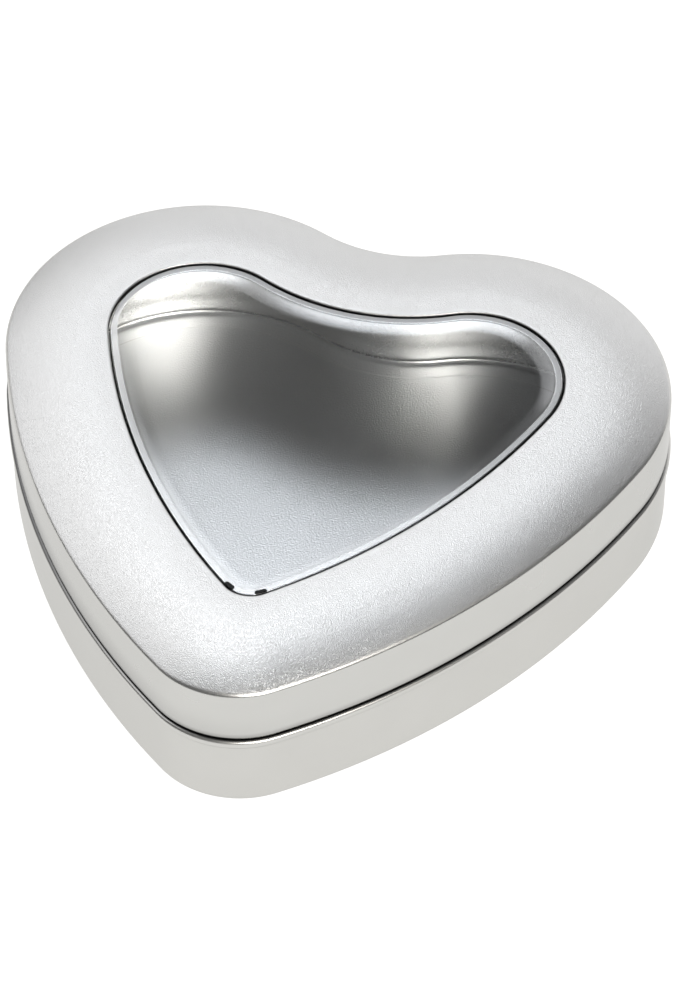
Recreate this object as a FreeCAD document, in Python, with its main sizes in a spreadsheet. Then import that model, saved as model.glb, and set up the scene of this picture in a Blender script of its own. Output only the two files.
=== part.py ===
import FreeCAD, Part
import math
import os
from collections import namedtuple
import Sketcher

# Heart-shaped tin with a window in its lift-off lid.
# Origin: middle of the outline, on the face that the tin stands on. +Z is up, the tip points to -Y.
# The driving dimensions, in millimetres, except for crown_fullness, which is a bare exponent.
DRIVING_SIZES = (
    ("tin_lobe_radius", 43.9, "radius of the two lobes of the lid's skirt"),
    ("tin_lobe_spread", 31.1, "lobe centre to the middle plane"),
    ("tin_cleft_radius", 34.0, "hollow arc between the lobes"),
    ("tin_side_radius", 174.0, "long flank from lobe to tip"),
    ("tin_tip_radius", 21.6, "rounded tip"),
    ("tin_tip_drop", 79.4, "line of the lobe centres to the tip's centre"),
    ("window_lobe_radius", 20.9, "window hole: lobes"),
    ("window_lobe_spread", 30.7, "window hole: lobe centre to the middle plane"),
    ("window_cleft_radius", 49.9, "window hole: arc between the lobes"),
    ("window_side_radius", 153.9, "window hole: flank"),
    ("window_tip_radius", 6.8, "window hole: tip"),
    ("window_tip_drop", 68.2, "window hole: line of the lobe centres to the tip's centre"),
    ("window_shift", 1.1, "window set nearer to the tip than the outline"),
    ("tinplate", 0.3, "thickness of the tinned steel sheet"),
    ("wall_inset", 0.15, "base wall behind the lid's skirt"),
    ("base_radius", 2.0, "bend from the wall into the bottom"),
    ("foot_width", 3.9, "flat ring that the tin stands on"),
    ("panel_lift", 0.5, "bottom panel raised above the standing ring"),
    ("shoulder_height", 20.0, "top of the shoulder under the lid's edge"),
    ("bead_height", 2.0, "rounded bead under the shoulder"),
    ("bead_proud", 0.65, "bead beyond the base wall"),
    ("neck_rise", 0.3, "top of the neck above the crease, close under the crown"),
    ("neck_curl", 1.3, "roll at the top of the neck"),
    ("lid_gap", 0.7, "open gap between the shoulder and the lid's edge"),
    ("lid_clearance", 0.3, "room between the lid's hem and the neck"),
    ("hem_roll", 1.4, "rolled-in lower edge of the skirt"),
    ("skirt_height", 13.4, "lower edge of the lid to the crease"),
    ("crease_round", 0.8, "soft bend from the skirt into the crown"),
    ("crown_rise", 4.6, "crease to the land around the window"),
    ("crown_fullness", 2.4, "how soon the crown levels out"),
    ("window_land", 2.0, "level land around the window hole"),
    ("window_curl", 1.4, "width of the rolled edge of the hole"),
    ("curl_depth", 1.8, "depth of the rolled edge of the hole"),
    ("pane_gap", 0.4, "room between the hole and the pane"),
    ("pane_sheet", 0.4, "thickness of the clear sheet"),
    ("pane_border", 1.6, "rounded border of the pane"),
    ("pane_dish", 0.3, "panel below the pane's border"),
    ("pane_drop", 0.25, "pane's border below the land"),
    ("flange_width", 6.0, "pane's flange beyond the window hole"),
    ("glue_line", 0.25, "adhesive between the rolled edge and the flange"),
    ("glue_height", 1.3, "height of the adhesive bead"),
    ("glue_width", 2.2, "adhesive outside the rolled edge"),
)
# Where the crown gets its sections, from the crease to the land; closer together where it bends most.
CROWN_SECTIONS = (0.0, 0.1, 0.25, 0.45, 0.7, 1.0)
# Radius of a rolled edge against its width, just short of half so that a flat is left between two rounds.
ROLL_SHARE = 0.42
SAME_LENGTH = 1e-3
LEAST_CUT = 1e-6

doc = FreeCAD.newDocument("window_lid_tin")
sheet = doc.addObject("Spreadsheet::Sheet", "Sizes")
for row, (alias, number, meaning) in enumerate(DRIVING_SIZES, start=1):
    sheet.set(f"A{row}", meaning)
    sheet.set(f"B{row}", str(number))
    sheet.setAlias(f"B{row}", alias)
doc.recompute()


class Size:
    """A length that carries its number and the expression that ties it to the sheet."""

    def __init__(self, number, text):
        self.number = number
        self.text = text

    def __add__(self, other):
        return Size(self.number + other.number, f"({self.text} + {other.text})")

    def __sub__(self, other):
        return Size(self.number - other.number, f"({self.text} - {other.text})")

    def __mul__(self, share):
        return Size(self.number * share, f"({self.text} * {share})")


def size(alias):
    return Size(float(sheet.get(alias)), f"Sizes.{alias}")


# A heart outline: two lobes, the cleft between them, two flanks and the tip, all tangent arcs.
Heart = namedtuple("Heart", "lobe_radius spread lobe_line cleft_radius side_radius tip_radius tip_drop")


def read_heart(name, lobe_line):
    return Heart(
        size(f"{name}_lobe_radius"), size(f"{name}_lobe_spread"), lobe_line, size(f"{name}_cleft_radius"),
        size(f"{name}_side_radius"), size(f"{name}_tip_radius"), size(f"{name}_tip_drop"))


def inset(heart, depth):
    """The heart moved inwards by depth all round, about the same centres."""
    return heart._replace(
        lobe_radius=heart.lobe_radius - depth, cleft_radius=heart.cleft_radius + depth,
        side_radius=heart.side_radius - depth, tip_radius=heart.tip_radius - depth)


def outset(heart, width):
    return inset(heart, width * -1.0)


def between(outer, inner, share):
    """The heart that lies at a share of the way from the outer one to the inner one."""
    return Heart(*(a * (1.0 - share) + b * share for a, b in zip(outer, inner)))


def own_plane(body, role):
    return next(plane for plane in body.Origin.OriginFeatures if plane.Role == role)


def heart_arcs(heart):
    """Right lobe, cleft, left lobe, left flank, tip and right flank, from the tangent points."""
    lobe_radius, spread, line, cleft_radius, side_radius, tip_radius, tip_drop = (v.number for v in heart)
    cleft_rise = math.sqrt((lobe_radius + cleft_radius) ** 2 - spread ** 2)
    to_cleft = math.atan2(cleft_rise, -spread)
    # The flank's centre lies across the middle plane, where both inner tangencies meet.
    lobe_reach = side_radius - lobe_radius
    tip_reach = side_radius - tip_radius
    apart = math.hypot(spread, tip_drop)
    along = (apart ** 2 + lobe_reach ** 2 - tip_reach ** 2) / (2 * apart)
    across = math.sqrt(lobe_reach ** 2 - along ** 2)
    flank_x = spread - along * spread / apart - across * tip_drop / apart
    flank_y = line - along * tip_drop / apart + across * spread / apart
    at_lobe = math.atan2(line - flank_y, spread - flank_x)
    at_tip = math.atan2(line - tip_drop - flank_y, -flank_x)
    turns = (
        (spread, line, lobe_radius, at_lobe, to_cleft),
        (0.0, line + cleft_rise, cleft_radius, -to_cleft, to_cleft - math.pi),
        (-spread, line, lobe_radius, math.pi - to_cleft, math.pi - at_lobe),
        (-flank_x, flank_y, side_radius, math.pi - at_lobe, math.pi - at_tip),
        (0.0, line - tip_drop, tip_radius, math.pi - at_tip, at_tip + 2 * math.pi),
        (flank_x, flank_y, side_radius, at_tip, at_lobe))
    up = FreeCAD.Vector(0, 0, 1)
    return [
        Part.ArcOfCircle(Part.Circle(FreeCAD.Vector(x, y, 0), up, radius), start, end)
        for x, y, radius, start, end in turns]


def draw_heart(sketch, heart, name):
    """Adds one fully constrained heart to a sketch, with its dimensions tied to the sheet."""
    first = sketch.GeometryCount
    sketch.addGeometry(heart_arcs(heart), False)
    right, cleft, left, left_flank, tip, right_flank = range(first, first + 6)
    start, end, centre = 1, 2, 3
    joints = (
        (right, end, cleft, end), (cleft, start, left, start), (left, end, left_flank, start),
        (left_flank, end, tip, start), (tip, end, right_flank, start), (right_flank, end, right, start))
    for joint in joints:
        sketch.addConstraint(Sketcher.Constraint("Tangent", *joint))
    sketch.addConstraint(Sketcher.Constraint("Symmetric", right, centre, left, centre, -2))
    sketch.addConstraint(Sketcher.Constraint("Equal", right, left))
    sketch.addConstraint(Sketcher.Constraint("Equal", right_flank, left_flank))
    sketch.addConstraint(Sketcher.Constraint("PointOnObject", tip, centre, -2))
    dimensions = (
        ("lobe_radius", heart.lobe_radius, ("Radius", right)),
        ("cleft_radius", heart.cleft_radius, ("Radius", cleft)),
        ("side_radius", heart.side_radius, ("Radius", right_flank)),
        ("tip_radius", heart.tip_radius, ("Radius", tip)),
        ("spread", heart.spread, ("DistanceX", -1, 1, right, centre)),
        ("lobe_line", heart.lobe_line, ("DistanceY", -1, 1, right, centre)),
        ("tip_drop", heart.tip_drop, ("DistanceY", tip, centre, right, centre)))
    for label, length, what in dimensions:
        index = sketch.addConstraint(Sketcher.Constraint(*what, length.number))
        sketch.renameConstraint(index, f"{name}_{label}")
        sketch.setExpression(f"Constraints.{name}_{label}", length.text)


def heart_sketch(body, name, height, outer, inner=None):
    """A level sketch at a height, holding one heart or the ring between two hearts."""
    sketch = body.newObject("Sketcher::SketchObject", name)
    sketch.AttachmentSupport = [(own_plane(body, "XY_Plane"), "")]
    sketch.MapMode = "FlatFace"
    sketch.setExpression("AttachmentOffset.Base.z", height.text)
    draw_heart(sketch, outer, "outer")
    if inner is not None:
        draw_heart(sketch, inner, "inner")
    return sketch


def pad(body, name, bottom, top, outer, inner=None):
    """Material between two heights inside a heart, or in the ring between two hearts."""
    feature = body.newObject("PartDesign::Pad", name)
    feature.Profile = heart_sketch(body, f"{name}_outline", bottom, outer, inner)
    feature.setExpression("Length", (top - bottom).text)
    doc.recompute()
    return feature


def pocket(body, name, bottom, top, outer, inner=None):
    """Takes away what lies between two heights inside a heart, or in a ring."""
    feature = body.newObject("PartDesign::Pocket", name)
    feature.Profile = heart_sketch(body, f"{name}_outline", top, outer, inner)
    feature.setExpression("Length", (top - bottom).text)
    doc.recompute()
    return feature


def loft(body, kind, name, sections):
    """A smooth skin through hearts at their heights."""
    sketches = [heart_sketch(body, f"{name}_{n}", height, heart) for n, (height, heart) in enumerate(sections)]
    feature = body.newObject(f"PartDesign::{kind}", name)
    feature.Profile = sketches[0]
    feature.Sections = sketches[1:]
    doc.recompute()
    return feature


def loop_edges(shape, heart, height):
    """Names of the edges that follow a heart at a height."""
    radii = [v.number for v in (heart.lobe_radius, heart.cleft_radius, heart.side_radius, heart.tip_radius)]
    names = []
    for number, edge in enumerate(shape.Edges, start=1):
        box = edge.BoundBox
        level = max(abs(box.ZMin - height.number), abs(box.ZMax - height.number)) < SAME_LENGTH
        if level and any(abs(edge.Curve.Radius - radius) < SAME_LENGTH for radius in radii):
            names.append(f"Edge{number}")
    return names


def fillet(body, name, radius, *loops):
    """Rounds the edges that follow the given hearts at their heights."""
    base = body.Tip
    feature = body.newObject("PartDesign::Fillet", name)
    edges = [edge for heart, height in loops for edge in loop_edges(base.Shape, heart, height)]
    feature.Base = (base, edges)
    feature.setExpression("Radius", radius.text)
    doc.recompute()
    return feature


def new_body(label):
    body = doc.addObject("PartDesign::Body", label)
    body.Label = label
    return body


# Outlines and levels that the pieces share
zero = Size(0.0, "0")
tinplate = size("tinplate")
clearance = size("lid_clearance")
tin_line = (size("tin_tip_drop") + size("tin_tip_radius") - size("tin_lobe_radius")) * 0.5
tin = read_heart("tin", tin_line)
hole = read_heart("window", tin_line - size("window_shift"))
shoulder = size("shoulder_height")
lid_edge = shoulder + size("lid_gap")
crease = lid_edge + size("skirt_height")
land = crease + size("crown_rise")
curl_bottom = land - size("curl_depth")
flange_top = curl_bottom - size("glue_line")

# Base pan: drawn from one sheet, with a raised bottom panel, a bead under the lid and a rolled neck
base = new_body("base_pan")
wall = inset(tin, size("wall_inset"))
wall_inside = inset(wall, tinplate)
bead = outset(wall, size("bead_proud"))
bead_inside = inset(bead, tinplate)
neck = inset(tin, size("hem_roll") + clearance)
neck_inside = inset(neck, tinplate)
panel = inset(wall, size("base_radius") + size("foot_width"))
panel_inside = outset(panel, tinplate)
bead_bottom = shoulder - size("bead_height")
under_shoulder = shoulder - tinplate
neck_top = crease + size("neck_rise")
curl_base = neck_top - size("neck_curl")
bead_roll = size("bead_proud") * (2 * ROLL_SHARE)
shoulder_roll = size("bead_height") * ROLL_SHARE

pad(base, "wall_block", zero, under_shoulder, wall)
pocket(base, "inside_space", tinplate, under_shoulder, wall_inside)
fillet(base, "inside_bend", size("base_radius") - tinplate, (wall_inside, tinplate))
fillet(base, "bottom_bend", size("base_radius"), (wall, zero))
pad(base, "bead_ring", bead_bottom, shoulder, bead, wall_inside)
pad(base, "shoulder_plate", under_shoulder, shoulder, wall, neck_inside)
fillet(base, "bead_top_round", shoulder_roll, (bead, shoulder))
fillet(base, "bead_bottom_round", bead_roll, (bead, bead_bottom))
pocket(base, "bead_groove", bead_bottom + tinplate, under_shoulder, bead_inside)
fillet(base, "groove_round", shoulder_roll - tinplate, (bead_inside, under_shoulder))
pad(base, "neck_wall", under_shoulder, neck_top, neck, neck_inside)
pad(base, "neck_roll", curl_base, neck_top, neck, inset(neck, size("neck_curl")))
fillet(base, "neck_roll_round", size("neck_curl") * ROLL_SHARE,
       (neck, neck_top), (inset(neck, size("neck_curl")), neck_top),
       (inset(neck, size("neck_curl")), curl_base))
pad(base, "panel_top", tinplate, tinplate + size("panel_lift"), panel_inside)
pocket(base, "panel_recess", zero, size("panel_lift"), panel)

# Lid frame: skirt with a rolled-in hem, domed crown and a rolled edge round the window hole
lid = new_body("lid_frame")
skirt_inside = inset(tin, tinplate)
land_edge = outset(hole, size("window_land"))
curl_edge = outset(hole, size("window_curl"))
hem_inside = inset(tin, size("hem_roll"))
hem_top = lid_edge + size("hem_roll")


def crown_height(share):
    """Height of the crown at a share of the way from the crease to the land."""
    fullness = float(sheet.get("crown_fullness"))
    rise = size("crown_rise").number * (1.0 - (1.0 - share) ** fullness)
    return crease + Size(rise, f"(Sizes.crown_rise * (1 - {1.0 - share} ^ Sizes.crown_fullness))")


crown = [(crown_height(share), between(tin, land_edge, share)) for share in CROWN_SECTIONS]
crown_inside = [
    (crown_height(share) - tinplate, between(skirt_inside, land_edge, share)) for share in CROWN_SECTIONS]
pad(lid, "skirt_block", lid_edge, crease, tin)
loft(lid, "AdditiveLoft", "crown", crown)
fillet(lid, "crease_bend", size("crease_round"), (tin, crease))
pocket(lid, "skirt_space", lid_edge, crease - tinplate, skirt_inside)
loft(lid, "SubtractiveLoft", "crown_space", crown_inside)
pad(lid, "curl_block", curl_bottom, land - tinplate * 0.5, curl_edge)
pocket(lid, "window_hole", curl_bottom, land, hole)
curl_round = size("window_curl") * ROLL_SHARE
fillet(lid, "curl_round", curl_round, (hole, land), (hole, curl_bottom), (curl_edge, curl_bottom))
pad(lid, "hem_ring", lid_edge, hem_top, tin, hem_inside)
fillet(lid, "hem_round", size("hem_roll") * ROLL_SHARE,
       (tin, lid_edge), (hem_inside, lid_edge), (hem_inside, hem_top))

# Window pane: clear formed sheet that stands up through the hole from a flange under the crown
pane = new_body("window_pane")
pane_sheet = size("pane_sheet")
plug = inset(hole, size("pane_gap"))
plug_inside = inset(plug, pane_sheet)
panel_edge = inset(plug, size("pane_border"))
pane_top = land - size("pane_drop")
panel_top = pane_top - size("pane_dish")
flange_bottom = flange_top - pane_sheet
pad(pane, "flange", flange_bottom, flange_top, outset(hole, size("flange_width")))
pad(pane, "plug", flange_bottom, pane_top, plug)
fillet(pane, "border_round", size("pane_border") * ROLL_SHARE, (plug, pane_top))
pocket(pane, "dish", panel_top, pane_top, panel_edge)
pocket(pane, "underside", flange_bottom, panel_top - pane_sheet, plug_inside)

# Window adhesive: a bead that bonds the flange to the rolled edge of the hole, out of sight
glue = new_body("window_adhesive")
glue_edge = outset(curl_edge, size("glue_width"))
glue_top = flange_top + size("glue_height")
pad(glue, "glue_line_ring", flange_top, curl_bottom, glue_edge, outset(hole, curl_round))
pad(glue, "glue_bead", curl_bottom, glue_top, glue_edge, curl_edge)
fillet(glue, "glue_round", size("glue_height") * ROLL_SHARE, (glue_edge, glue_top))

# Every object has to be sound, and every cut has to take something away, before anything is written.
doc.recompute()
for item in doc.Objects:
    if "Invalid" in item.State or "Error" in item.State:
        raise RuntimeError(f"{item.Label} failed: {item.State}")
    if item.TypeId in ("PartDesign::Pocket", "PartDesign::SubtractiveLoft"):
        if item.Shape.Volume > item.BaseFeature.Shape.Volume - LEAST_CUT:
            raise RuntimeError(f"{item.Label} cuts nothing")
os.makedirs("parts", exist_ok=True)
for body in (base, lid, pane, glue):
    shape = body.Shape
    if shape.isNull() or not shape.isValid() or len(shape.Solids) != 1:
        raise RuntimeError(f"{body.Label} is not one sound solid")
    shape.exportStep(f"parts/{body.Label}.step")
    box = shape.optimalBoundingBox(True, False)
    print(f"{body.Label}: {box.XLength:.2f} x {box.YLength:.2f} x {box.ZLength:.2f} mm, "
          f"z {box.ZMin:.2f} to {box.ZMax:.2f}, {shape.Volume:.1f} mm3")
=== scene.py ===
import math
from collections import namedtuple
import bmesh
import bpy
from mathutils import Matrix, Vector


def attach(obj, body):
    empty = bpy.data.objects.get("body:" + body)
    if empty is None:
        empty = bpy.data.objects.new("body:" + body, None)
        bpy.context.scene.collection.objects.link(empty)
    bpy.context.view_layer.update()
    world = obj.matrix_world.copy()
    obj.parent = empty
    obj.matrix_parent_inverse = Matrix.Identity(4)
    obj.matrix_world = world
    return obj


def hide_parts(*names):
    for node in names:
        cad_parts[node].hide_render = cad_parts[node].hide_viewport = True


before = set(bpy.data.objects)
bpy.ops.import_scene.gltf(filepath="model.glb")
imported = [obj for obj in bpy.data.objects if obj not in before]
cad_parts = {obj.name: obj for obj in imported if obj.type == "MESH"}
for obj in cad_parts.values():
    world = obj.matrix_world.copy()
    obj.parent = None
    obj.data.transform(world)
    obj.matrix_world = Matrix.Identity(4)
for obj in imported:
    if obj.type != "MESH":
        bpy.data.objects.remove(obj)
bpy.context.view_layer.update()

# Base pan: one sheet of tinned steel, 0.3 mm thick, drawn into a heart-shaped pan.
# The bottom panel is pressed up off the standing ring, a bead stands out under the shoulder,
# and the neck that enters the lid ends in a roll turned inwards, which carries the crown.
MM = 0.001
TINPLATE = 0.3
WALL_INSET = 0.15
BASE_BEND = 2.0
PANEL_INSET = 6.05
PANEL_LIFT = 0.5
PANEL_STEP = 0.35
PANEL_RINGS = (0.9, 0.6)
SHOULDER = 20.0
SHOULDER_FLAT = (0.7, 1.2)
BEAD_BOTTOM = 18.0
BEAD_REACH = 0.5
BEAD_ROUND = 0.84
BEAD_FOOT = 0.55
NECK_INSET = 1.7
NECK_BEND = 0.3
NECK_TOP = 34.4
NECK_ROLL = 0.65
RING_MARGIN = 0.4
WALL_RINGS = [2.5, 6.0, 10.0, 14.0, 17.2]
Heart = namedtuple("Heart", "lobe_radius spread lobe_line cleft_radius side_radius tip_radius tip_drop")
LOBE_LINE = 28.55
tin = Heart(43.9, 31.1, LOBE_LINE, 34.0, 174.0, 21.6, 79.4)
CLEFT_STEPS, LOBE_STEPS, FLANK_STEPS, TIP_STEPS = 16, 52, 24, 18


def inset(heart, depth):
    """The heart moved inwards by depth all round, about the same centres."""
    return heart._replace(
        lobe_radius=heart.lobe_radius - depth, cleft_radius=heart.cleft_radius + depth,
        side_radius=heart.side_radius - depth, tip_radius=heart.tip_radius - depth)


def half_heart(bm, heart, height):
    """Spins one level half of a heart, arc by arc from the cleft to the tip, and gives its edges."""
    lobe_radius, spread, line, cleft_radius, side_radius, tip_radius, tip_drop = heart
    cleft_rise = math.sqrt((lobe_radius + cleft_radius) ** 2 - spread ** 2)
    to_cleft = math.atan2(cleft_rise, -spread)
    lobe_reach = side_radius - lobe_radius
    tip_reach = side_radius - tip_radius
    apart = math.hypot(spread, tip_drop)
    along = (apart ** 2 + lobe_reach ** 2 - tip_reach ** 2) / (2 * apart)
    across = math.sqrt(lobe_reach ** 2 - along ** 2)
    flank_x = spread - along * spread / apart - across * tip_drop / apart
    flank_y = line - along * tip_drop / apart + across * spread / apart
    at_lobe = math.atan2(line - flank_y, spread - flank_x)
    at_tip = math.atan2(line - tip_drop - flank_y, -flank_x)
    arcs = (
        (0.0, line + cleft_rise, to_cleft - math.pi / 2, CLEFT_STEPS),
        (spread, line, at_lobe - to_cleft, LOBE_STEPS),
        (flank_x, flank_y, at_tip - at_lobe, FLANK_STEPS),
        (0.0, line - tip_drop, -math.pi / 2 - at_tip, TIP_STEPS))
    wire = bmesh.new()
    last = [wire.verts.new((0.0, line + cleft_rise - cleft_radius, height))]
    for x, y, turn, steps in arcs:
        spun = bmesh.ops.spin(
            wire, geom=last, cent=(x, y, height), axis=(0, 0, 1), angle=turn, steps=steps)
        last = [part for part in spun["geom_last"] if isinstance(part, bmesh.types.BMVert)]
    loop = bpy.data.meshes.new("half_heart")
    wire.to_mesh(loop)
    wire.free()
    before = len(bm.edges)
    bm.from_mesh(loop)
    bpy.data.meshes.remove(loop)
    return bm.edges[before:]


def bend(inset_at, height_at, radius, start, end, steps):
    """Points of a bend in the sheet: insets and heights on an arc, 0 degrees outwards and 90 up."""
    angles = [math.radians(start + (end - start) * n / steps) for n in range(steps + 1)]
    return [(inset_at - radius * math.cos(a), height_at + radius * math.sin(a)) for a in angles]


def step(inset_from, height_from, inset_to, height_to, steps=6):
    """Points of a soft S-shaped step pressed into the sheet."""
    shares = [n / steps for n in range(steps + 1)]
    eased = [s * s * (3 - 2 * s) for s in shares]
    return [(inset_from + (inset_to - inset_from) * s, height_from + (height_to - height_from) * e)
            for s, e in zip(shares, eased)]


def pressed_sheet(name, sections, ring=False):
    """Bridges half hearts at their heights into a skin and mirrors it.
    A ring's last section meets its first; otherwise a panel closes each end."""
    bm = bmesh.new()
    loops = [half_heart(bm, heart, height) for heart, height in sections]
    if ring:
        loops.append(loops[0])
    for first, second in zip(loops, loops[1:]):
        bmesh.ops.bridge_loops(bm, edges=first + second)
    whole = bm.verts[:] + bm.edges[:] + bm.faces[:]
    bmesh.ops.mirror(bm, geom=whole, matrix=Matrix.Identity(4), merge_dist=0.001, axis="X")
    bmesh.ops.remove_doubles(bm, verts=bm.verts, dist=0.0005)
    bmesh.ops.holes_fill(bm, edges=[edge for edge in bm.edges if edge.is_boundary], sides=0)
    bmesh.ops.recalc_face_normals(bm, faces=bm.faces)
    bmesh.ops.scale(bm, vec=(MM, MM, MM), verts=bm.verts)
    mesh = bpy.data.meshes.new(name)
    bm.to_mesh(mesh)
    bm.free()
    mesh.shade_smooth()
    piece = bpy.data.objects.new(name, mesh)
    bpy.context.scene.collection.objects.link(piece)
    return piece


wall_inside = WALL_INSET + TINPLATE
neck_inside = NECK_INSET + TINPLATE
panel_inside = PANEL_INSET - TINPLATE
floor_bend = BASE_BEND - TINPLATE
floor_top = TINPLATE + PANEL_LIFT
bead_top = (BEAD_ROUND - BEAD_REACH, SHOULDER - BEAD_ROUND)
bead_foot = (BEAD_FOOT - BEAD_REACH, BEAD_BOTTOM + BEAD_FOOT)
neck_foot = (NECK_INSET - NECK_BEND, SHOULDER + NECK_BEND)
base_profile = [(PANEL_INSET + depth, PANEL_LIFT) for depth in PANEL_RINGS]
base_profile += step(PANEL_INSET + PANEL_STEP, PANEL_LIFT, PANEL_INSET - PANEL_STEP, 0.0)
base_profile += [(PANEL_INSET - 2 * PANEL_STEP, 0.0), (WALL_INSET + BASE_BEND + RING_MARGIN, 0.0)]
base_profile += bend(WALL_INSET + BASE_BEND, BASE_BEND, BASE_BEND, -90, 0, 8)
base_profile += [(WALL_INSET, height) for height in WALL_RINGS + [BEAD_BOTTOM - 0.25]]
base_profile += bend(*bead_foot, BEAD_FOOT, -80, 0, 6)
base_profile += bend(*bead_top, BEAD_ROUND, 0, 90, 8)
base_profile += [(depth, SHOULDER) for depth in SHOULDER_FLAT]
base_profile += bend(*neck_foot, NECK_BEND, 270, 180, 4)
base_profile += [(NECK_INSET, height) for height in (21.4, 25.0, 29.0, 33.0)]
base_profile += bend(NECK_INSET + NECK_ROLL, NECK_TOP - NECK_ROLL, NECK_ROLL, 0, 300, 16)
base_profile += [(neck_inside, height) for height in (32.5, 28.0, 22.0)]
base_profile += bend(*neck_foot, NECK_BEND + TINPLATE, 180, 270, 4)
base_profile += [(SHOULDER_FLAT[0], SHOULDER - TINPLATE)]
base_profile += bend(*bead_top, BEAD_ROUND - TINPLATE, 90, 0, 6)
base_profile += bend(*bead_foot, BEAD_FOOT - TINPLATE, 0, -80, 4)
base_profile += [(wall_inside, height) for height in [BEAD_BOTTOM - 0.1] + WALL_RINGS[::-1]]
base_profile += bend(wall_inside + floor_bend, BASE_BEND, floor_bend, 0, -90, 8)
base_profile += [(wall_inside + floor_bend + RING_MARGIN, TINPLATE)]
base_profile += [(panel_inside - 2 * PANEL_STEP, TINPLATE)]
base_profile += step(panel_inside - PANEL_STEP, TINPLATE, panel_inside + PANEL_STEP, floor_top)
base_profile += [(panel_inside + depth, floor_top) for depth in PANEL_RINGS[::-1]]
base_pan = pressed_sheet("tin_base", [(inset(tin, depth), height) for depth, height in base_profile])


class Shade:
    """A socket that plain arithmetic works on: each operation adds its Math node to the same tree."""

    def __init__(self, socket):
        self.socket = socket

    def make(self, kind, settings, inputs, output=0):
        """Adds a node of a kind with its settings, and the values or links of its sockets."""
        tree = self.socket.id_data
        node = tree.nodes.new(kind)
        for name, value in settings.items():
            setattr(node, name, value)
        for name, value in inputs.items():
            if isinstance(value, Shade):
                tree.links.new(value.socket, node.inputs[name])
            else:
                node.inputs[name].default_value = value
        return Shade(node.outputs[output])

    def math(self, operation, first, second):
        return self.make("ShaderNodeMath", {"operation": operation}, {0: first, 1: second})

    def __add__(self, other):
        return self.math("ADD", self, other)

    def __radd__(self, other):
        return self.math("ADD", other, self)

    def __sub__(self, other):
        return self.math("SUBTRACT", self, other)

    def __rsub__(self, other):
        return self.math("SUBTRACT", other, self)

    def __mul__(self, other):
        return self.math("MULTIPLY", self, other)

    def __rmul__(self, other):
        return self.math("MULTIPLY", other, self)

    def vector(self, operation, other, output=0):
        return self.make("ShaderNodeVectorMath", {"operation": operation}, {0: self, 1: other}, output)

    def part(self, axis):
        """One coordinate of a place or a direction: 0 across, 1 along and 2 up."""
        return self.make("ShaderNodeSeparateXYZ", {}, {0: self}, output=axis)

    def ramp(self, low, high):
        """Eases from 0 at the low value to 1 at the high one."""
        return self.make("ShaderNodeMapRange", {"interpolation_type": "SMOOTHSTEP"}, {
            "Value": self, "From Min": low, "From Max": high})

    def ramp_mm(self, low, high):
        """The same between two lengths in millimetres."""
        return self.ramp(low * MM, high * MM)

    def noise(self, scale, detail=2.0, roughness=0.5):
        """Noise over the surface, from 0 to 1, with features of about 1 / scale metres."""
        return self.make("ShaderNodeTexNoise", {}, {
            "Vector": self, "Scale": scale, "Detail": detail, "Roughness": roughness})

    def mix(self, first, second):
        """The first colour where this value is 0 and the second where it is 1."""
        return self.make("ShaderNodeMix", {"data_type": "RGBA"}, {0: self, 6: first, 7: second}, output=2)

    def bump(self, strength, distance):
        return self.make("ShaderNodeBump", {}, {"Height": self, "Strength": strength, "Distance": distance})

    def into(self, node, name):
        self.socket.id_data.links.new(self.socket, node.inputs[name])


def new_finish(name):
    """A material with its shader and the place on the surface, in metres."""
    material = bpy.data.materials.new(name)
    material.use_nodes = True
    nodes = material.node_tree.nodes
    place = Shade(nodes.new("ShaderNodeTexCoord").outputs["Object"])
    return material, nodes["Principled BSDF"], place


def normal_at(place):
    """The way the surface faces. Its part upwards is 1 for level, 0 for upright and -1 for an underside."""
    return Shade(place.socket.node.outputs["Normal"])


MIDDLE_OF_TIN = (0.0, 0.0, 30 * MM)
EDGE_TINT = (0.8, 0.8, 0.8, 1.0)
base_finish, shader, place = new_finish("base_tinplate_satin")
mottle = place.noise(70.0, detail=3.0)
grain = place.noise(2600.0, detail=1.0)
outward = place.vector("SUBTRACT", MIDDLE_OF_TIN).vector("DOT_PRODUCT", normal_at(place), output=1)
inside = 1 - outward.ramp_mm(-2.0, 2.0)
# The inside of the sheet gets a lighter tone than the outside: partly a coating that differs between the
# two faces, partly painted light for the inside.
varnished = mottle.mix((0.56, 0.555, 0.535, 1.0), (0.60, 0.595, 0.575, 1.0))
bright = mottle.mix((0.74, 0.735, 0.715, 1.0), (0.78, 0.775, 0.755, 1.0))
height = place.part(2)
facing = normal_at(place).part(2)
# Painted shade: the top of the shoulder under the lid's hem, more of it on the left side, and the underside
# of the bead are mixed towards dark grey, standing for the shade in the gap between lid and base.
left = 1 - place.part(0).ramp_mm(-60.0, 0.0)
shaded = place.math("MAXIMUM", left * facing.ramp(0.2, 0.7), facing.ramp(0.85, 1.0))
above_bead = height.ramp_mm(SHOULDER - 1.0, SHOULDER - 0.5)
under_lid = above_bead * (1 - height.ramp_mm(SHOULDER + 1.5, SHOULDER + 2.0))
at_bead = height.ramp_mm(BEAD_BOTTOM - 1.0, BEAD_BOTTOM - 0.5) * (1 - inside)
bead_under = (1 - facing.ramp(-0.8, -0.1)) * at_bead
shade = shaded * under_lid + 0.6 * bead_under
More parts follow.
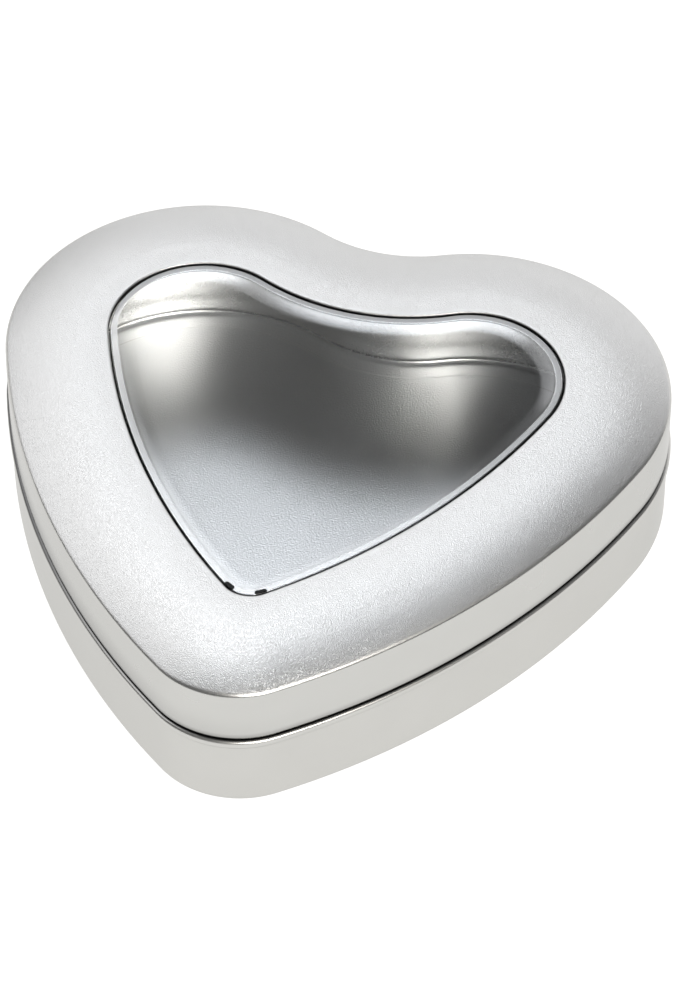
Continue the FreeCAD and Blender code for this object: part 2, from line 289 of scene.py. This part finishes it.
# Painted light: the floor panel is painted lighter still than the walls of the same sheet, standing for the
# light that falls on it through the window.
floor = facing.ramp(0.6, 0.95) * (1 - height.ramp_mm(floor_top + 0.4, floor_top + 1.2))
sheet = inside.mix(varnished, floor.mix(bright, (0.90, 0.905, 0.91, 1.0)))
shade.mix(sheet, (0.14, 0.14, 0.14, 1.0)).into(shader, "Base Color")
(0.28 + 0.03 * mottle + 0.03 * grain - 0.04 * inside + 0.1 * floor).into(shader, "Roughness")
(grain * (0.06 - 0.05 * inside + floor)).bump(1.0, 0.0001).into(shader, "Normal")
shader.inputs["Metallic"].default_value = 1.0
shader.inputs["Specular Tint"].default_value = EDGE_TINT
base_pan.data.materials.append(base_finish)
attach(base_pan, "base")
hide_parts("base_pan")

# Lid frame: tinned steel sheet drawn into a skirt and a domed crown with a heart-shaped hole.
# The skirt ends in a rolled-in hem, the edge of the hole is rolled under,
# and the crown has a frosted finish with a fine grain, while the skirt is smooth.
LID_GAP = 0.5
LID_EDGE = SHOULDER + LID_GAP
HEM_ROLL = 0.7
SKIRT_RINGS = [25.0, 28.5, 32.0, 33.2]
CREASE = 34.1
CREASE_DROP = 0.7
CREASE_SHARE = 0.035
CREASE_STEPS = 6
CROWN_RISE = 4.6
CROWN_FULLNESS = 2.4
CROWN_STEPS = 22
LAND = CREASE + CROWN_RISE
WINDOW_SHIFT = 1.1
WINDOW_LAND = 2.0
CURL_BEND = 0.5
CURL_ROLL = 0.7
CURL_DROP = 1.1
hole = Heart(20.9, 30.7, LOBE_LINE - WINDOW_SHIFT, 49.9, 153.9, 6.8, 68.2)
land_edge = inset(hole, -WINDOW_LAND)


def crown_heart(share):
    """The heart at a share of the way from the crease to the land around the window."""
    return Heart(*(a * (1 - share) + b * share for a, b in zip(tin, land_edge)))


def crown_height(share):
    return CREASE + CROWN_RISE * (1 - (1 - share) ** CROWN_FULLNESS)


def crease_section(share):
    """The heart and height at a share of the way over the rounded crease, from the skirt to the crown."""
    from_skirt = (CREASE - CREASE_DROP) * (1 - share) ** 2
    to_crown = crown_height(CREASE_SHARE) * share ** 2
    return crown_heart(CREASE_SHARE * share ** 2), from_skirt + 2 * CREASE * share * (1 - share) + to_crown


hem = bend(HEM_ROLL, LID_EDGE + HEM_ROLL, HEM_ROLL, -305, 0, 18)
lid_sections = [(inset(tin, depth), height) for depth, height in hem]
lid_sections += [(tin, height) for height in [LID_EDGE + 1.7] + SKIRT_RINGS]
lid_sections += [crease_section(n / CREASE_STEPS) for n in range(CREASE_STEPS + 1)]
for n in range(1, CROWN_STEPS + 1):
    share = CREASE_SHARE + (1 - CREASE_SHARE) * n / CROWN_STEPS
    lid_sections.append((crown_heart(share), crown_height(share)))
curl = [(-2 * CURL_ROLL, LAND), (-0.8, LAND)] + bend(-CURL_BEND, LAND - CURL_BEND, CURL_BEND, 90, 180, 8)
curl += bend(-CURL_ROLL, LAND - CURL_DROP, CURL_ROLL, 180, 360, 14)
lid_sections += [(inset(hole, depth), height) for depth, height in curl]
for n in range(CROWN_STEPS, -1, -1):
    share = n / CROWN_STEPS
    lid_sections.append((inset(crown_heart(share), TINPLATE * (1 - share)), crown_height(share) - TINPLATE))
lid_sections += [(inset(tin, TINPLATE), height) for height in SKIRT_RINGS[::-1] + [LID_EDGE + 2.1]]
lid_frame = pressed_sheet("tin_lid", lid_sections, ring=True)

lid_finish, shader, place = new_finish("lid_tinplate_frosted")
mottle = place.noise(60.0, detail=3.0)
grain = place.noise(5800.0, detail=0.0)
height = place.part(2)
frosted = height.ramp_mm(CREASE - 0.1, CREASE + 0.5)
skirt = mottle.mix((0.55, 0.547, 0.53, 1.0), (0.59, 0.587, 0.57, 1.0))
crown = mottle.mix((0.59, 0.59, 0.585, 1.0), (0.63, 0.63, 0.625, 1.0))
facing = normal_at(place).part(2)
# Painted shade: the curl round the window where it does not face up, the hem and the lower skirt are mixed
# towards dark grey, the hem and skirt more on the left side, standing for the shade in the gaps and the
# light falling off to the left.
curl_side = (1 - facing.ramp(0.3, 0.8)) * height.ramp_mm(LAND - 2.4, LAND - 2.0)
left = 1 - place.part(0).ramp_mm(-60.0, 35.0)
hem_shade = (0.5 + 0.5 * left) * (1 - height.ramp_mm(LID_EDGE - 0.3, LID_EDGE + 2.5))
skirt_shade = 0.4 * left * (1 - height.ramp_mm(LID_EDGE, LID_EDGE + 8.0))
shade = place.math("MAXIMUM", curl_side, place.math("MAXIMUM", hem_shade, skirt_shade))
shade.mix(frosted.mix(skirt, crown), (0.1, 0.1, 0.1, 1.0)).into(shader, "Base Color")
(0.25 + 0.04 * mottle + frosted * 0.1 * grain).into(shader, "Roughness")
(grain * (0.1 + 0.9 * frosted)).bump(1.0, 0.000065).into(shader, "Normal")
shader.inputs["Metallic"].default_value = 1.0
shader.inputs["Specular Tint"].default_value = EDGE_TINT
lid_frame.data.materials.append(lid_finish)
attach(lid_frame, "lid")
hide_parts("lid_frame")

# Window adhesive: a milky bead that bonds the pane's flange to the rolled edge of the hole.
# It lies under the crown, out of sight from above, and shows only when the lid is turned over.
adhesive_finish, shader, place = new_finish("set_adhesive_milky")
ooze = place.noise(400.0, detail=3.0)
ooze.mix((0.80, 0.79, 0.74, 1.0), (0.90, 0.89, 0.85, 1.0)).into(shader, "Base Color")
(0.35 + 0.2 * ooze).into(shader, "Roughness")
ooze.bump(0.3, 0.0003).into(shader, "Normal")
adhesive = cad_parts["window_adhesive"]
adhesive.data.materials.clear()
adhesive.data.materials.append(adhesive_finish)

# Window pane: one clear plastic sheet, 0.4 mm thick, formed with a rounded border that stands up
# through the hole. Its flange lies under the crown, where the adhesive holds it.
# The border's upright side and the foot above the flange are painted dark as painted shade,
# and a small dark mark is painted on each side of the window's tip.
PANE_SHEET = 0.4
PANE_GAP = 0.4
PANE_TOP = LAND - 0.25
PANE_DISH = 0.1
BORDER_BEND = 0.5
BORDER_INSET = PANE_GAP + 1.6
BORDER_STEP = 0.2
BAND_START = BORDER_INSET + 0.3
BAND_END = 5.8
BAND_STEPS = 10
BAND_SLOPES = (11.0, 2.0)
PANEL_MARGINS = (0.6, 0.1)
PLUG_RING = 37.3
FOOT_BEND = 0.4
FOOT_UNDERSIDE = 0.7
FLANGE_TOP = 36.65
FLANGE_REACH = 6.0
DARK_SPOTS = ((4.1, 45.2), (3.5, 45.55), (2.9, 45.9))
pane_inside = PANE_GAP + PANE_SHEET
band_top = PANE_TOP - PANE_DISH
under_border = PANE_TOP - PANE_SHEET
flange_bottom = FLANGE_TOP - PANE_SHEET
flange_ring = 1.0 - FLANGE_REACH


def band(share):
    """A point of the band that falls from the border to the level panel, steep at the border."""
    steep, shallow = map(math.radians, BAND_SLOPES)
    width = BAND_END - BAND_START
    fall = width * (steep * share - (steep - shallow) * share ** 3 / 3)
    return BAND_START + width * share, band_top - fall


band_points = [band(n / BAND_STEPS) for n in range(BAND_STEPS + 1)]
panel_top = band_points[-1][1]
pane_profile = [(BAND_END + depth, panel_top) for depth in PANEL_MARGINS] + band_points[::-1]
pane_profile += step(BAND_START - 0.05, band_top, BORDER_INSET - BORDER_STEP, PANE_TOP)
pane_profile += [(BORDER_INSET - 2 * BORDER_STEP, PANE_TOP)]
pane_profile += bend(PANE_GAP + BORDER_BEND, PANE_TOP - BORDER_BEND, BORDER_BEND, 90, 0, 10)
pane_profile += [(PANE_GAP, PLUG_RING)]
pane_profile += bend(PANE_GAP - FOOT_BEND, FLANGE_TOP + FOOT_BEND, FOOT_BEND, 180, 270, 5)
pane_profile += [(-0.3, FLANGE_TOP), (flange_ring, FLANGE_TOP)]
pane_profile += bend(PANE_SHEET / 2 - FLANGE_REACH, FLANGE_TOP - PANE_SHEET / 2, PANE_SHEET / 2, 90, -90, 6)
pane_profile += [(flange_ring, flange_bottom), (0.0, flange_bottom)]
pane_profile += bend(
    pane_inside - FOOT_UNDERSIDE, flange_bottom + FOOT_UNDERSIDE, FOOT_UNDERSIDE, -90, -180, 4)
pane_profile += [(pane_inside, PLUG_RING)]
pane_profile += bend(
    PANE_GAP + BORDER_BEND, PANE_TOP - BORDER_BEND, BORDER_BEND - PANE_SHEET, 0, 90, 6)
pane_profile += [(BORDER_INSET - 2 * BORDER_STEP, under_border)]
pane_profile += step(BORDER_INSET - BORDER_STEP, under_border, BAND_START - 0.05, band_top - PANE_SHEET)
pane_profile += [(depth, height - PANE_SHEET) for depth, height in band_points]
pane_profile += [(BAND_END + depth, panel_top - PANE_SHEET) for depth in PANEL_MARGINS[::-1]]
window_pane = pressed_sheet("tin_window", [(inset(hole, depth), height) for depth, height in pane_profile])

pane_finish, shader, place = new_finish("clear_sheet_gloss")
sweep = place.noise(40.0, detail=2.0)
height = place.part(2)
rim = height.ramp_mm(band_top + 0.02, band_top + 0.08)
(0.02 + 0.03 * sweep + 0.4 * rim).into(shader, "Roughness")
sweep.bump(0.02, 0.0005).into(shader, "Normal")
facing = place.math("ABSOLUTE", normal_at(place).part(2), 0.0)
bent_rim = rim * (1 - facing.ramp(0.93, 0.99))
# Painted shade: the upright side of the border and the foot above the flange are painted near black,
# standing for the dark line round the window.
side = (1 - facing.ramp(0.4, 0.8)) * (1 - height.ramp_mm(PANE_TOP - 0.45, PANE_TOP - 0.25))
above_flange = height.ramp_mm(FLANGE_TOP + 0.01, FLANGE_TOP + 0.06)
foot = above_flange * (1 - height.ramp_mm(FLANGE_TOP + 0.45, FLANGE_TOP + 0.65))
dark = place.math("MAXIMUM", side, foot)
# Three overlapping dark spots on each side of the window's tip are painted into the same dark mask.
either_side = place.vector("ABSOLUTE", (0.0, 0.0, 0.0))
for x, y in DARK_SPOTS:
    from_spot = either_side.vector("DISTANCE", (x * MM, y * MM, PANE_TOP * MM), output=1)
    dark = place.math("MAXIMUM", dark, 1 - from_spot.ramp_mm(0.6, 0.8))
dark.mix((0.96, 0.97, 0.98, 1.0), (0.02, 0.02, 0.02, 1.0)).into(shader, "Base Color")
tree = pane_finish.node_tree
clear = tree.nodes.new("ShaderNodeBsdfTransparent")
clear.inputs["Color"].default_value = (0.96, 0.965, 0.97, 1.0)
edge_on = place.make("ShaderNodeLayerWeight", {}, {"Blend": 0.5}, output=1)
gloss = place.math("POWER", edge_on, 5.0)
blend = tree.nodes.new("ShaderNodeMixShader")
tree.links.new(clear.outputs[0], blend.inputs[1])
tree.links.new(shader.outputs[0], blend.inputs[2])
# The mix factor takes more of the white mirror than the sheet's own gloss on the sloped band and on the rim
# and its bend: a painted reflection on the band and a painted sheen on the rim. It also makes the painted
# dark marks opaque.
sloped = height.ramp_mm(panel_top + 0.05, band_top - 0.05)
(0.06 + 0.95 * gloss + 0.08 * sloped + 0.2 * rim + 0.4 * bent_rim + 0.8 * dark).into(blend, 0)
tree.links.new(blend.outputs[0], tree.nodes["Material Output"].inputs["Surface"])
shader.inputs["Metallic"].default_value = 1.0
window_pane.data.materials.append(pane_finish)
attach(window_pane, "lid")
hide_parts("window_pane")

# Studio: a plain white table that is lit from below, as for a cut-out picture, in a dim room.
# A round light hangs high behind the tin, a pale wall stands on the left, a backdrop behind
# and a warm lamp in front on the right, each as a soft glow in the sky.
TABLE_TOP = -0.05
TABLE_REACH = 3.0
bm = bmesh.new()
lowered = Matrix.Translation((0.0, 0.0, TABLE_TOP * MM))
bmesh.ops.create_grid(bm, x_segments=1, y_segments=1, size=TABLE_REACH, matrix=lowered)
mesh = bpy.data.meshes.new("table_top")
bm.to_mesh(mesh)
bm.free()
table_top = bpy.data.objects.new("table_top", mesh)
bpy.context.scene.collection.objects.link(table_top)
table_finish, shader, _ = new_finish("table_white")
shader.inputs["Base Color"].default_value = (0.12, 0.12, 0.12, 1.0)
shader.inputs["Roughness"].default_value = 0.9
shader.inputs["Specular IOR Level"].default_value = 0.0
shader.inputs["Emission Color"].default_value = (1.0, 0.998, 0.985, 1.0)
shader.inputs["Emission Strength"].default_value = 1.01
table_top.data.materials.append(table_finish)

world = bpy.data.worlds.new("studio")
bpy.context.scene.world = world
world.use_nodes = True
sky = world.node_tree.nodes
direction = Shade(sky.new("ShaderNodeTexCoord").outputs["Generated"])


def glow(azimuth, elevation, full, fade):
    """A soft round light in the sky, 1 out to the full angle from its middle and 0 beyond the fade angle.
    Azimuth 0 is in front of the tip and 90 to its right."""
    turn, rise = math.radians(azimuth), math.radians(elevation)
    middle = (math.sin(turn) * math.cos(rise), -math.cos(turn) * math.cos(rise), math.sin(rise))
    towards = direction.vector("DOT_PRODUCT", middle, output=1)
    return towards.ramp(math.cos(math.radians(fade)), math.cos(math.radians(full)))


overhead = 4.4 * glow(188, 68, 2, 18)
left_wall = 1.3 * glow(244, 43, 27, 34)
backdrop = 1.12 * glow(175, 0, 35, 43)
front = 8.6 * glow(40, 38, 1, 24)
white = 0.16 + left_wall + backdrop
sum_of_lights = {
    "Red": white + front + 0.97 * overhead,
    "Green": white + 0.97 * front + overhead,
    "Blue": 1.01 * white + 0.92 * front + 1.04 * overhead}
direction.make("ShaderNodeCombineColor", {}, sum_of_lights).into(sky["Background"], "Color")

# Camera: above the tip of the heart, a little to its right, with a long lens
# that takes in the whole tin and a margin of table.
VIEW_AZIMUTH = math.radians(15.23)
VIEW_ELEVATION = math.radians(46.41)
VIEW_ROLL = math.radians(-0.14)
VIEW_DISTANCE = 1.0689
VIEW_TARGET = Vector((0.00809, 0.00126, 0.0203))
LENS_LENGTH = 174.9
level = math.cos(VIEW_ELEVATION)
back = Vector((math.sin(VIEW_AZIMUTH) * level, -math.cos(VIEW_AZIMUTH) * level, math.sin(VIEW_ELEVATION)))
lens = bpy.data.cameras.new("long_lens")
lens.lens = LENS_LENGTH
camera = bpy.data.objects.new("camera", lens)
camera.location = VIEW_TARGET + back * VIEW_DISTANCE
camera.rotation_mode = "QUATERNION"
roll = Matrix.Rotation(VIEW_ROLL, 3, "Z").to_quaternion()
camera.rotation_quaternion = back.to_track_quat("Z", "Y") @ roll
scene = bpy.context.scene
scene.collection.objects.link(camera)
scene.camera = camera
scene.view_settings.view_transform = "Standard"
